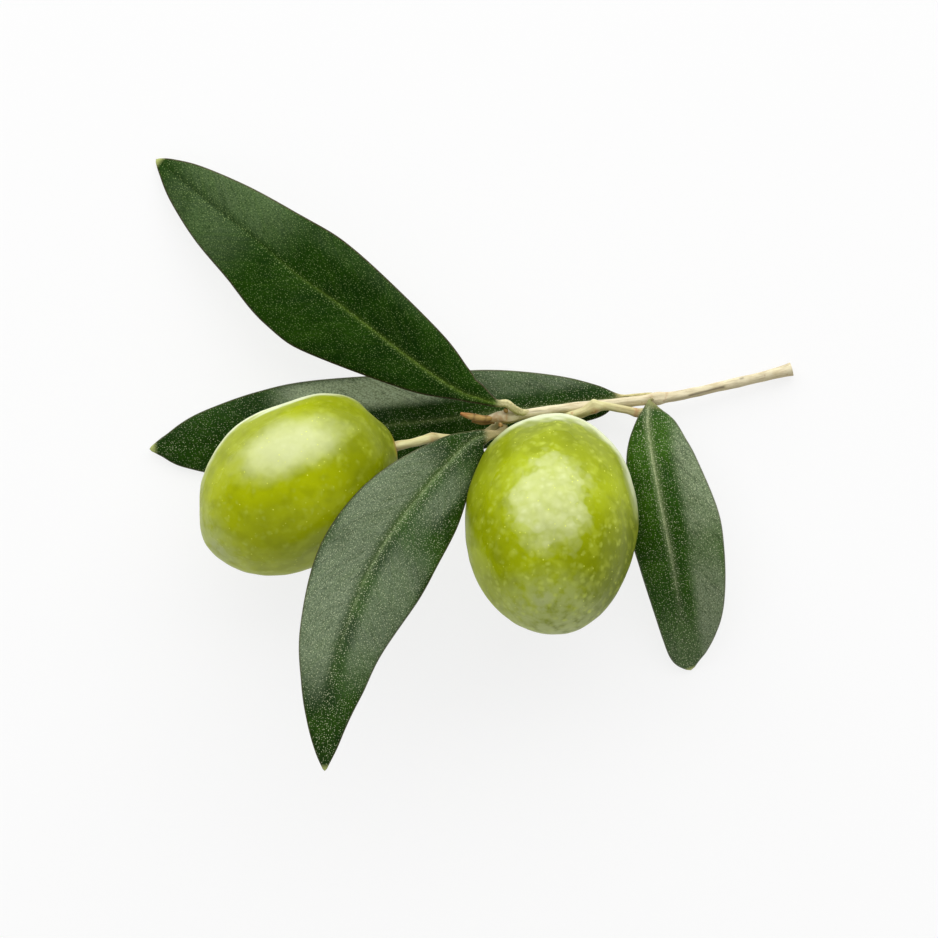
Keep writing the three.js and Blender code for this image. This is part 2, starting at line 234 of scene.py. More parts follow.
class Curve:
    """A smooth curve through a table of stations, which carries every column along."""

    FINENESS = 60
    NUDGE = 0.01

    def __init__(self, rows: Rows) -> None:
        """Lays the curve and measures it.

        Args:
            rows: The stations, with the place in the first three columns.
        """
        table = np.array(rows, float)
        before, after = 2 * table[0] - table[1], 2 * table[-1] - table[-2]
        self.table = np.vstack([before, table, after])
        self.spans = len(rows) - 1
        self.steps = np.linspace(0, self.spans, self.spans * self.FINENESS + 1)
        places = self.columns(self.steps)[:, :3]
        pieces = np.linalg.norm(np.diff(places, axis=0), axis=1)
        self.lengths = np.concatenate([[0.0], np.cumsum(pieces)])
        self.length = float(self.lengths[-1])

    def columns(self, step: Array) -> Array:
        """All the columns at places counted in stations.

        Args:
            step: Places, 0 at the first station and one more at each that follows.

        Returns:
            One row of columns for each place.
        """
        span = np.clip(step.astype(int), 0, self.spans - 1)
        part = (step - span)[:, None]
        p0, p1, p2, p3 = (self.table[span + shift] for shift in range(4))
        lead, trail = (p2 - p0) / 2, (p3 - p1) / 2
        cubic = 2 * p1 - 2 * p2 + lead + trail
        square = 3 * p2 - 3 * p1 - 2 * lead - trail
        return ((cubic * part + square) * part + lead) * part + p1

    def steps_at(self, travelled: Array) -> Array:
        """Places counted in stations at lengths travelled along the curve."""
        return np.interp(travelled, self.lengths, self.steps)

    def headings(self, step: Array) -> Array:
        """Unit directions of travel.

        Args:
            step: Places counted in stations.

        Returns:
            One direction for each place.
        """
        ahead = self.columns(np.minimum(step + self.NUDGE, self.spans))[:, :3]
        behind = self.columns(np.maximum(step - self.NUDGE, 0))[:, :3]
        return unit(ahead - behind)


class Ripples:
    """Seeded smooth unevenness, the same in every run."""

    WAVES = 16

    def __init__(self, seed: int, spacing: float) -> None:
        """Draws the waves.

        Args:
            seed: Seed of the draw.
            spacing: Typical distance between two bumps, in the unit of the points.
        """
        draw = np.random.default_rng(seed)
        turns = draw.uniform(0.6, 1.5, (self.WAVES, 1)) * 2 * math.pi / spacing
        self.waves = unit(draw.normal(size=(self.WAVES, 3))) * turns
        self.phases = draw.uniform(0, 2 * math.pi, self.WAVES)

    def height(self, points: Array) -> Array:
        """Heights at points, about 1 from the middle to a usual crest."""
        return np.sin(points @ self.waves.T + self.phases).sum(-1) * math.sqrt(2 / self.WAVES)


def unit(vectors: Array) -> Array:
    """Vectors brought to length 1."""
    return vectors / np.maximum(np.linalg.norm(vectors, axis=-1, keepdims=True), TINY)


def ease(values: Array, low: float, high: float) -> Array:
    """Rises smoothly from 0 at low to 1 at high."""
    part = np.clip((values - low) / (high - low), 0, 1)
    return part * part * (3 - 2 * part)


def bell(values: Array, width: float) -> Array:
    """A bell curve, 1 in the middle and 0.37 at the width."""
    return np.exp(-((values / width) ** 2))


def roll_up(points: Array, layers: dict[str, Array]) -> Shape:
    """Rolls a flat grid up into a closed skin.

    Args:
        points: Places in millimetres, ring by ring and then round each ring.
        layers: Named triples for each place, which the finishes read.

    Returns:
        The skin in metres, with its seam joined and each end drawn to a point.
    """
    rings, sides = points.shape[:2]
    skin = bmesh.new()
    bmesh.ops.create_grid(skin, x_segments=sides, y_segments=rings - 1, size=1.0)
    made = {name: skin.verts.layers.float_vector.new(name) for name in layers}
    skin.verts.ensure_lookup_table()
    ends: list[list[bmesh.types.BMVert]] = [[], []]
    for index, vert in enumerate(skin.verts):
        ring, side = divmod(index, sides + 1)
        vert.co = points[ring, side % sides] * MM
        for name, layer in made.items():
            vert[layer] = layers[name][ring, side % sides]
        if ring in (0, rings - 1):
            ends[ring > 0].append(vert)
    for ring, end in zip((0, -1), ends):
        middle = Vector(points[ring].mean(axis=0) * MM)
        bmesh.ops.pointmerge(skin, verts=end, merge_co=middle)
    bmesh.ops.remove_doubles(skin, verts=skin.verts, dist=SEAM)
    bmesh.ops.recalc_face_normals(skin, faces=skin.faces)
    return skin


# ------------------------------------------------------------------ node sheets


def tone(red: int, green: int, blue: int) -> Colour:
    """A paint chart's colour, as the shaders take it.

    Args:
        red: The red channel, 0 to 255.
        green: The green channel.
        blue: The blue channel.

    Returns:
        The linear colour.
    """
    shares = (channel / 255 for channel in (red, green, blue))
    linear = (s / 12.92 if s <= 0.04045 else ((s + 0.055) / 1.055) ** 2.4 for s in shares)
    return (*linear, 1.0)


class Nodes:
    """A node tree, with short calls for the nodes that the finishes share."""

    def __init__(self, tree: bpy.types.NodeTree) -> None:
        """Takes the tree that the nodes go in."""
        self.tree = tree

    def feed(self, socket: Socket, value: Value) -> None:
        """Links a socket to another, or sets it to a number or colour.

        Args:
            socket: The socket that is fed.
            value: What feeds it.
        """
        if isinstance(value, Socket):
            self.tree.links.new(value, socket)
        else:
            socket.default_value = value

    def node(self, kind: str, feeds: Feeds, **settings: str) -> bpy.types.Node:
        """Adds a node.

        Args:
            kind: The node's type, without its ShaderNode prefix.
            feeds: Values or sockets for its inputs, by name or number.
            settings: Its options.

        Returns:
            The node.
        """
        made = self.tree.nodes.new("ShaderNode" + kind)
        for title, setting in settings.items():
            setattr(made, title, setting)
        for title, value in feeds.items():
            self.feed(made.inputs[title], value)
        return made

    def place(self) -> Socket:
        """The place on the object, in metres."""
        return self.node("TexCoord", {}).outputs["Object"]

    def facing(self) -> Socket:
        """How far the surface turns away, 0 where it faces the eye and 1 at the outline."""
        return self.node("LayerWeight", {"Blend": 0.5}).outputs["Facing"]

    def layer(self, name: str) -> tuple[Socket, Socket, Socket, Socket]:
        """A layer of the piece's own mesh.

        Args:
            name: The layer's name.

        Returns:
            The layer whole, and each of its three values.
        """
        whole = self.node("Attribute", {}, attribute_name=name).outputs["Vector"]
        parts = self.node("SeparateXYZ", {0: whole}).outputs
        return whole, parts[0], parts[1], parts[2]

    def sum(self, kind: str, first: Value, second: Value = 0.0) -> Socket:
        """One step of arithmetic on two numbers."""
        return self.node("Math", {0: first, 1: second}, operation=kind).outputs[0]

    def times(self, product: Value, *values: Value) -> Socket:
        """The product of numbers.

        Args:
            product: The first number.
            values: The others.

        Returns:
            The product.
        """
        for value in values:
            product = self.sum("MULTIPLY", product, value)
        return product

    def vectors(self, kind: str, *vectors: Value) -> bpy.types.NodeOutputs:
        """One step of arithmetic on vectors."""
        return self.node("VectorMath", dict(enumerate(vectors)), operation=kind).outputs

    def step(self, value: Socket, low: float, high: float, top: float = 1.0,
             bottom: float = 0.0) -> Socket:
        """Goes smoothly from one number to another.

        Args:
            value: What decides between them.
            low: The value at which the bottom is left.
            high: The value at which the top is reached, which may be less than low.
            top: The number where the value is high.
            bottom: The number where the value is low.

        Returns:
            The number.
        """
        feeds = {"Value": value, "From Min": low, "From Max": high, "To Min": bottom,
                 "To Max": top}
        return self.node("MapRange", feeds, interpolation_type="SMOOTHSTEP").outputs[0]

    def noise(self, where: Socket, scale: float, detail: float = 2.0) -> Socket:
        """Cloudy noise, about 0.3 to 0.7."""
        feeds = {"Vector": where, "Scale": scale, "Detail": detail}
        return self.node("TexNoise", feeds).outputs[0]

    def clouds(self, where: Socket, scale: float, detail: float, low: float, high: float,
               top: float = 1.0, bottom: float = 0.0) -> Socket:
        """Cloudy noise, cut to go from bottom at its low values to top at its high ones."""
        return self.step(self.noise(where, scale, detail), low, high, top, bottom)

    def stirred(self, where: Socket, shift: float, scale: float = 1100.0) -> Socket:
        """Places moved about at random.

        Args:
            where: The places.
            shift: Three times the most that a place usually moves.
            scale: How closely together the moves change.

        Returns:
            The moved places.
        """
        feeds = {"Vector": where, "Scale": scale, "Detail": 1.0}
        stir = self.node("TexNoise", feeds).outputs["Color"]
        return self.vectors("MULTIPLY_ADD", stir, (shift, shift, shift), where)["Vector"]

    def feathered(self, across: Socket, along: Socket, slant: float, stretch: float) -> Socket:
        """Places sheared by a slant and stretched, so that noise runs as side veins do."""
        sheared = self.sum("SUBTRACT", along, self.times(self.sum("ABSOLUTE", across), slant))
        return self.node("CombineXYZ", {0: sheared, 1: self.times(across, stretch)}).outputs[0]

    def coats(self, base: Value, *coats: tuple[Value, Value]) -> Socket:
        """Lays coats of colour over a base.

        Args:
            base: The colour beneath.
            coats: How much of each coat shows, and its colour.

        Returns:
            The colour.
        """
        for share, colour in coats:
            base = self.node("Mix", {0: share, 6: base, 7: colour}, data_type="RGBA").outputs[2]
        return base

    def dots(self, where: Socket, spacing: float, radius: float, kept: float,
             flat: bool = False, core: float = 0.35) -> Socket:
        """Small soft-edged dots, each of its own strength.

        Args:
            where: The places, in the unit of the spacing.
            spacing: Usual distance between the dots.
            radius: Radius of a dot.
            kept: Share of the dots that show.
            flat: Whether the dots lie in the plane of the first two values.
            core: Share of the radius over which a dot is full.

        Returns:
            How much of a dot there is.
        """
        feeds = {"Vector": where, "Scale": 1 / spacing}
        cells = self.node("TexVoronoi", feeds, voronoi_dimensions="2D" if flat else "3D")
        near = self.step(cells.outputs["Distance"], radius / spacing, radius / spacing * core)
        draws = self.node("SeparateColor", {0: cells.outputs["Color"]}).outputs
        shown = self.step(draws[0], 1 - kept, 1 - kept + 0.15)
        feeds = {0: draws[1], 1: 0.6, 2: 0.4}
        strength = self.node("Math", feeds, operation="MULTIPLY_ADD").outputs[0]
        return self.times(near, shown, strength)

    def relief(self, height: Socket, depth: float, under: Socket | None = None) -> Socket:
        """Fine relief.

        Args:
            height: Height, 0 to 1.
            depth: Depth of the relief in metres.
            under: Relief that this one lies on.

        Returns:
            The surface's normal.
        """
        feeds = {"Height": height, "Distance": depth, "Strength": 1.0}
        if under is not None:
            feeds["Normal"] = under
        return self.node("Bump", feeds).outputs[0]


class Sheet(Nodes):
    """A material's node sheet."""

    def __init__(self, name: str, **constants: float | Colour) -> None:
        """Starts a material.

        Args:
            name: Name of the material.
            constants: Values set on the shader's own sockets, with _ for a space.
        """
        self.material = bpy.data.materials.new(name)
        self.material.use_nodes = True
        super().__init__(self.material.node_tree)
        self.shader = self.tree.nodes["Principled BSDF"]
        for title, value in constants.items():
            self.shader.inputs[title.replace("_", " ")].default_value = value

    def finish(self, colour: Socket, roughness: Socket, normal: Socket) -> Material:
        """Feeds the shader.

        Args:
            colour: The surface's colour.
            roughness: The surface's roughness.
            normal: The surface's normal.

        Returns:
            The material.
        """
        for title, value in (("Base Color", colour), ("Roughness", roughness), ("Normal", normal)):
            self.feed(self.shader.inputs[title], value)
        return self.material


# ------------------------------------------------------------------ finishes


@dataclass(frozen=True)
class SheenPatch:
    """A patch of painted sheen, grey like bloom, on one half of a leaf, in millimetres from its
    base and midrib.
    """

    side: int
    start: float
    end: float
    inner: float
    outer: float
    amount: float


@dataclass(frozen=True)
class LeafFace:
    """The leathery upper face of an olive leaf, deep green and dusted with pale scales, with
    patches of painted sheen and painted shade in its fine wrinkles.
    """

    name: str
    deep: Colour = tone(15, 42, 2)
    fresh: Colour = tone(29, 60, 4)
    vein: Colour = tone(66, 96, 26)
    # painted shade: dark lines in the fine wrinkles
    wrinkle_shade: Colour = tone(20, 44, 8)
    shade: Colour = tone(20, 42, 8)
    # painted sheen: grey laid in patches where the lamp's reflection would show
    painted_sheen: Colour = tone(112, 126, 98)
    patches: tuple[SheenPatch, ...] = ()
    midrib: Colour = tone(140, 156, 96)
    midrib_width: float = 0.22
    midrib_strength: float = 0.8
    midrib_reach: float = 0.9
    margin: Colour = tone(70, 66, 40)
    scale: Colour = tone(206, 214, 172)
    petiole: Colour = tone(176, 178, 118)
    petiole_streak: Colour = tone(150, 134, 96)
    tip: Colour = tone(168, 176, 108)
    dust: float = 0.82
    gloss: float = 0.2

    def colour(self, sheet: Sheet) -> Socket:
        """The face's colour.

        Args:
            sheet: The sheet that the nodes go on.

        Returns:
            The colour.
        """
        where, across, along, edge = sheet.layer("leaf")
        _, blade, tipwards, _ = sheet.layer("part")
        place = sheet.place()
        off = sheet.sum("ABSOLUTE", across)
        ribs = sheet.feathered(across, along, 1.5, 0.25)
        crease = sheet.sum("ABSOLUTE", sheet.sum("SUBTRACT", sheet.noise(ribs, 0.55, 3.0), 0.5))
        fine = sheet.clouds(where, 4.2, 3.0, 0.36, 0.68, 0.5)
        small = sheet.dots(where, 0.26, 0.064, 0.7, flat=True)
        large = sheet.dots(where, 0.46, 0.07, 0.65, flat=True)
        dust = sheet.sum("MAXIMUM", sheet.times(small, 0.65), large)
        denser = sheet.sum("ADD", sheet.step(off, 1.2, 0.1, 0.5), self.dust)
        face = sheet.coats(
            self.deep,
            (sheet.clouds(place, 210.0, 4.0, 0.34, 0.68), self.fresh),
            # painted sheen in grey patches on chosen halves of the leaf
            *((share, self.painted_sheen) for share in self.painted_sheen_shares(sheet, place, across, along)),
            (sheet.clouds(ribs, 1.1, 4.0, 0.35, 0.75, 0.2), self.vein),
            # painted shade along the fine wrinkles
            (sheet.step(crease, 0.022, 0.0, 0.4), self.wrinkle_shade),
            (fine, self.shade),
            (sheet.times(dust, denser), self.scale),
            (self.rib(sheet, off, tipwards, where), self.midrib),
            (sheet.step(edge, 0.28, 0.05, 0.6), self.margin),
            (sheet.step(tipwards, 0.982, 0.997), self.tip))
        return sheet.coats(self.petiole, (fine, self.petiole_streak), (blade, face))

    def painted_sheen_shares(self, sheet: Sheet, place: Socket, across: Socket,
                along: Socket) -> Iterator[Socket]:
        """How much of each patch of painted sheen shows.

        Args:
            sheet: The sheet that the nodes go on.
            place: The place on the object, in metres.
            across: Distance from the midrib, positive on the left half.
            along: Distance from the leaf's base.

        Yields:
            The share of the painted sheen's colour in the next patch.
        """
        ragged = sheet.clouds(place, 150.0, 3.0, 0.05, 0.5)
        for patch in self.patches:
            off = sheet.times(across, float(patch.side))
            yield sheet.times(
                sheet.step(off, patch.inner - 0.5, patch.inner + 1.1, patch.amount),
                sheet.step(off, patch.outer + 0.9, patch.outer - 0.5),
                sheet.step(along, patch.start - 4.0, patch.start + 4.0),
                sheet.step(along, patch.end + 4.0, patch.end - 4.0), ragged)

    def rib(self, sheet: Sheet, off: Socket, tipwards: Socket, where: Socket) -> Socket:
        """How much of the pale midrib shows.

        Args:
            sheet: The sheet that the nodes go on.
            off: Distance from the midrib.
            tipwards: Share of the way to the tip.
            where: Place on the face, in millimetres.

        Returns:
            The share of the midrib's colour.
        """
        fade = sheet.step(tipwards, self.midrib_reach, self.midrib_reach - 0.5,
                          self.midrib_strength)
        line = sheet.times(sheet.step(off, self.midrib_width * 1.15, self.midrib_width * 0.2),
                           sheet.clouds(where, 1.7, 2.0, 0.2, 0.55),
                           sheet.clouds(where, 5.5, 2.0, 0.34, 0.56))
        halo = sheet.step(off, self.midrib_width * 3.2, 0.0, 0.3)
        return sheet.times(sheet.sum("MAXIMUM", line, halo), fade)

    def make(self) -> Material:
        """Makes the material.

        Returns:
            The material.
        """
        sheet = Sheet(self.name, Specular_IOR_Level=self.gloss, IOR=1.45)
        where = sheet.layer("leaf")[0]
        grain = sheet.relief(sheet.noise(where, 5.0, 3.0), 0.035 * MM)
        grain = sheet.relief(sheet.noise(where, 0.7), 0.1 * MM, grain)
        rough = sheet.clouds(where, 2.0, 2.0, 0.3, 0.7, 0.42, 0.32)
        return sheet.finish(self.colour(sheet), rough, grain)


@dataclass(frozen=True)
class LeafUnderside:
    """The silvery underside of an olive leaf, felted with pale scales."""

    name: str = "silvery_leaf_underside"
    felt: Colour = tone(162, 172, 140)
    shade: Colour = tone(142, 154, 120)
    scale: Colour = tone(205, 210, 188)
    midrib: Colour = tone(182, 184, 132)
    petiole: Colour = tone(168, 168, 112)

    def make(self) -> Material:
        """Makes the material.

        Returns:
            The material.
        """
        sheet = Sheet(self.name, Specular_IOR_Level=0.35)
        where, across, along, _ = sheet.layer("leaf")
        blade = sheet.layer("part")[1]
        clouds = sheet.clouds(sheet.place(), 300.0, 4.0, 0.35, 0.65)
        ribs = sheet.feathered(across, along, 1.3, 0.2)
        face = sheet.coats(
            self.shade,
            (clouds, self.felt),
            (sheet.clouds(ribs, 0.9, 3.0, 0.45, 0.7, 0.35), self.shade),
            (sheet.times(sheet.dots(where, 0.24, 0.11, 0.8, flat=True), 0.5), self.scale),
            (sheet.step(sheet.sum("ABSOLUTE", across), 0.7, 0.25, 0.85), self.midrib))
        felted = sheet.relief(sheet.noise(where, 6.0, 3.0), 0.05 * MM)
        rough = sheet.step(clouds, 0.0, 1.0, 0.74, 0.62)
        return sheet.finish(sheet.coats(self.petiole, (blade, face)), rough, felted)


@dataclass(frozen=True)
class OliveSkin:
    """The waxy skin of a green olive: clouded yellow-green with pale flecks, a painted highlight,
    a painted rim reflection and painted shade on one side.
    """

    name: str
    centre: Place
    # painted shade: the skin darkens towards this side, away from the key lamp
    shade_towards: Place
    highlight_at: Place
    highlight_reach: Place
    highlight_turn: float = 0.0
    sheen_towards: Place = (0.45, 0.9, 0.0)
    sheen_width: float = 0.36
    highlight_share: float = 0.93
    highlight_fade: float = 0.6
    grain: float = 1.0
    cell: float = 1.05
    ruddy: float = 0.0
    speck: float = 0.5
    shade_share: float = 0.85
    green: Colour = tone(138, 150, 0)
    bright: Colour = tone(160, 174, 0)
    dark: Colour = tone(86, 98, 0)
    cloud: Colour = tone(186, 198, 64)
    mote: Colour = tone(188, 200, 84)
    fleck: Colour = tone(228, 236, 92)
    # painted highlight: the pale colour of the wax cells gathered at highlight_at
    painted_sheen: Colour = tone(204, 210, 158)
    end: Colour = tone(184, 194, 128)
    tip: Colour = tone(168, 176, 128)
    scar: Colour = tone(112, 106, 74)
    rust: Colour = tone(196, 158, 58)
    # painted reflection: a pale rim on the outline towards sheen_towards
    painted_rim_sheen: Colour = tone(232, 238, 206)

    def colour(self, sheet: Sheet, place: Socket) -> Socket:
        """The skin's colour.

        Args:
            sheet: The sheet that the nodes go on.
            place: The place on the object, in metres.

        Returns:
            The colour.
        """
        _, tipwards, hollow, tip = sheet.layer("fruit")
        shift = tuple(-share * MM for share in self.centre)
        centred = sheet.node("Mapping", {"Vector": place, "Location": shift}).outputs[0]
        lean, lit = (sheet.vectors("DOT_PRODUCT", centred, way)["Value"]
                     for way in (self.shade_towards, self.sheen_towards))
        motes = sheet.dots(sheet.stirred(place, 0.9 * MM), 1.05 * MM, 0.52 * MM, 0.75, core=0.0)
        flecks = sheet.dots(place, 0.7 * MM, 0.12 * MM, 0.5)
        patches = sheet.clouds(place, 820.0, 3.0, 0.2, 0.62)
        edge = 1.0 - self.sheen_width
        return sheet.coats(
            self.green,
            (sheet.clouds(place, 110.0, 2.0, 0.34, 0.66), self.bright),
            # painted shade on the side facing shade_towards
            (sheet.step(lean, -1.0 * MM, 9.0 * MM, self.shade_share), self.dark),
            (sheet.step(tipwards, 0.0, -0.85, 0.5), self.dark),
            (sheet.clouds(place, 520.0, 1.5, 0.46, 0.7, 0.2), self.dark),
            (sheet.clouds(place, 760.0, 1.5, 0.5, 0.7, 0.12 + 0.13 * self.grain), self.cloud),
            (sheet.times(motes, 0.24 + 0.26 * self.grain), self.mote),
            # painted highlight: pale wax cells gathered where the lamp's highlight falls
            (self.wax_and_highlight(sheet, place), self.painted_sheen),
            (sheet.times(flecks, 0.85), self.fleck),
            (sheet.times(sheet.step(tipwards, 0.7, 1.0, 0.66), patches), self.end),
            (sheet.times(sheet.step(tip, 0.05, 0.7, 0.42), patches), self.tip),
            (sheet.times(motes, sheet.step(tipwards, 0.5, 0.9, 0.6)), self.mote),
            (sheet.step(tip, 0.97, 0.995, self.speck), self.scar),
            (sheet.step(hollow, 0.3, 0.9, self.ruddy), self.rust),
            (sheet.step(hollow, 0.55, 0.9, 0.6), self.scar),
            # painted reflection: a pale rim where the outline faces sheen_towards
            (sheet.times(sheet.step(sheet.facing(), edge, (1.0 + edge) / 2, 0.75),
                         sheet.step(lit, 4.0 * MM, 10.0 * MM)), self.painted_rim_sheen))

    def wax_and_highlight(self, sheet: Sheet, place: Socket) -> Socket:
        """How much pale wax lies on the skin, in round cells, gathered into a painted highlight.

        Args:
            sheet: The sheet that the nodes go on.
            place: The place on the object, in metres.

        Returns:
            The share of the painted highlight's colour.
        """
        feeds = {"Vector": sheet.stirred(place, 0.5 * MM), "Scale": 1 / (self.cell * MM),
                 "Smoothness": 0.7}
        cells = sheet.node("TexVoronoi", feeds, feature="SMOOTH_F1").outputs
        draws = sheet.node("SeparateColor", {0: cells["Color"]}).outputs
        away = sheet.sum("ADD", sheet.times(draws[0], 0.35 * self.grain),
                         sheet.times(sheet.noise(place, 330.0, 3.0), 0.5))
        stretched = {"Location": tuple((c + b) * MM for c, b in zip(self.centre, self.highlight_at)),
                     "Rotation": (0.0, 0.0, math.radians(self.highlight_turn)),
                     "Scale": tuple(reach * MM for reach in self.highlight_reach)}
        for where, share in ((cells["Position"], 0.45 * self.grain),
                             (place, 1.0 - 0.45 * self.grain)):
            local = sheet.node("Mapping", {"Vector": where, **stretched}, vector_type="TEXTURE")
            off = sheet.vectors("LENGTH", local.outputs[0])["Value"]
            away = sheet.sum("ADD", away, sheet.times(off, share))
        inside = sheet.step(away, 1.5, 1.5 - self.highlight_fade, self.highlight_share)
        thinner = sheet.sum("SUBTRACT", 1.0, sheet.times(draws[2], 0.35 * self.grain))
        full = sheet.step(cells["Distance"], 0.0, 0.5, 1.0 - 0.3 * self.grain, 1.0)
        return sheet.times(inside, thinner, full)

    def make(self) -> Material:
        """Makes the material.

        Returns:
            The material.
        """
        sheet = Sheet(self.name, Specular_IOR_Level=0.5, IOR=1.38,
                      Specular_Tint=tone(246, 255, 170))
        place = sheet.place()
        waxy = sheet.relief(sheet.noise(place, 420.0), 0.05 * MM)
        cells = sheet.dots(place, self.cell * MM, 0.6 * self.cell * MM, 1.0)
        pored = sheet.relief(cells, 0.012 * MM, waxy)
        rough = sheet.sum("ADD", sheet.clouds(place, 500.0, 2.0, 0.3, 0.7, 0.22, 0.16),
                          sheet.step(sheet.facing(), 0.3, 0.7, 0.3))
        return sheet.finish(self.colour(sheet, place), rough, pored)


@dataclass(frozen=True)
class Bark:
    """Skin of a twig, stalk or bud: streaked along its length, with scars where marks are and
    painted shade on the side that faces -Y.
    """

    name: str
    pale: Colour
    streak: Colour
    # low is a browner tone, laid in clouds and as painted shade on the side facing -Y
    low: Colour
    shade_side_share: float = 0.4
    rust: Colour = tone(172, 122, 74)
    dark: Colour = tone(66, 50, 34)
    speck: Colour = tone(168, 124, 92)
    bare_roughness: float = 0.68
    depth: float = 0.09

    def make(self) -> Material:
        """Makes the material.

        Returns:
            The material.
        """
        sheet = Sheet(self.name, Specular_IOR_Level=0.35)
        _, dark, rust, low = sheet.layer("marks")
        place = sheet.place()
        fibre = sheet.noise(sheet.layer("grain")[0], 3.4, 4.0)
        colour = sheet.coats(
            self.pale,
            (sheet.step(fibre, 0.42, 0.68, 0.75), self.streak),
            (sheet.clouds(place, 520.0, 3.0, 0.4, 0.7, 0.4), self.low),
            # painted shade on the stem's -Y side, where shade falls
            (sheet.times(low, self.shade_side_share), self.low),
            (sheet.times(sheet.dots(place, 0.9 * MM, 0.17 * MM, 0.4), 0.65), self.speck),
            (sheet.times(rust, sheet.clouds(place, 2400.0, 3.0, 0.25, 0.6)), self.rust),
            (dark, self.dark))
        ribs = sheet.relief(fibre, self.depth * MM)
        fine = sheet.relief(sheet.noise(place, 3800.0, 3.0), 0.04 * MM, ribs)
        rough = sheet.step(fibre, 0.3, 0.7, self.bare_roughness + 0.14, self.bare_roughness)
        return sheet.finish(colour, rough, fine)


@dataclass(frozen=True)
class CutWood:
    """Pale wood where the twig was cut."""

    name: str = "cut_olive_wood"
    wood: Colour = tone(214, 199, 156)
    ring: Colour = tone(178, 156, 108)

    def make(self) -> Material:
        """Makes the material.

        Returns:
            The material.
        """
        sheet = Sheet(self.name, Specular_IOR_Level=0.3)
        fibres = sheet.noise(sheet.place(), 5200.0, 3.0)
        colour = sheet.coats(self.wood, (sheet.step(fibres, 0.35, 0.65), self.ring))
        rough = sheet.step(fibres, 0.3, 0.7, 0.85, 0.75)
        return sheet.finish(colour, rough, sheet.relief(fibres, 0.05 * MM))


# ------------------------------------------------------------------ pieces


@dataclass
class Piece:
    """A detailed piece that stands for one solid of the frame."""

    name: str
    node: str

    slot = Slot.BARK

    def build(self) -> Shape:
        """Builds the piece's mesh, in its place."""
        raise NotImplementedError

    def finishes(self) -> list[Material]:
        """The materials that the mesh's faces name by number."""
        raise NotImplementedError

    def make(self) -> None:
        """Builds and dresses the piece and hands it to the frame."""
        shape = self.build()
        for face in shape.faces:
            face.smooth = True
        piece = put_in_scene(self.name, shape, self.finishes())
        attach(piece, BODY)
        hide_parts(self.node)
        self.report(piece.data)

    def report(self, mesh: bpy.types.Mesh) -> None:
        """Logs the piece's size and how far it stands from its solid.

        Args:
            mesh: The piece's mesh.
        """
        corners = np.array([vert.co for vert in mesh.vertices])
        low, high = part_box(self.node)
        apart = max(np.abs(corners.min(0) - low).max(), np.abs(corners.max(0) - high).max())
        triangles = sum(len(face.vertices) - 2 for face in mesh.polygons)
        LOG.info("%s: %d triangles, box within %.2f mm of %s", self.name, triangles,
                 apart / MM, self.node)


def put_in_scene(name: str, shape: Shape, materials: list[Material]) -> bpy.types.Object:
    """Makes an object at the origin from a shape, with its place in its mesh.

    Args:
        name: The object's name.
        shape: The shape, which is used up.
        materials: Its materials.

    Returns:
        The object.
    """
    mesh = bpy.data.meshes.new(name)
    shape.to_mesh(mesh)
    shape.free()
    for material in materials:
        mesh.materials.append(material)
    made = bpy.data.objects.new(name, mesh)
    bpy.context.scene.collection.objects.link(made)
    return made


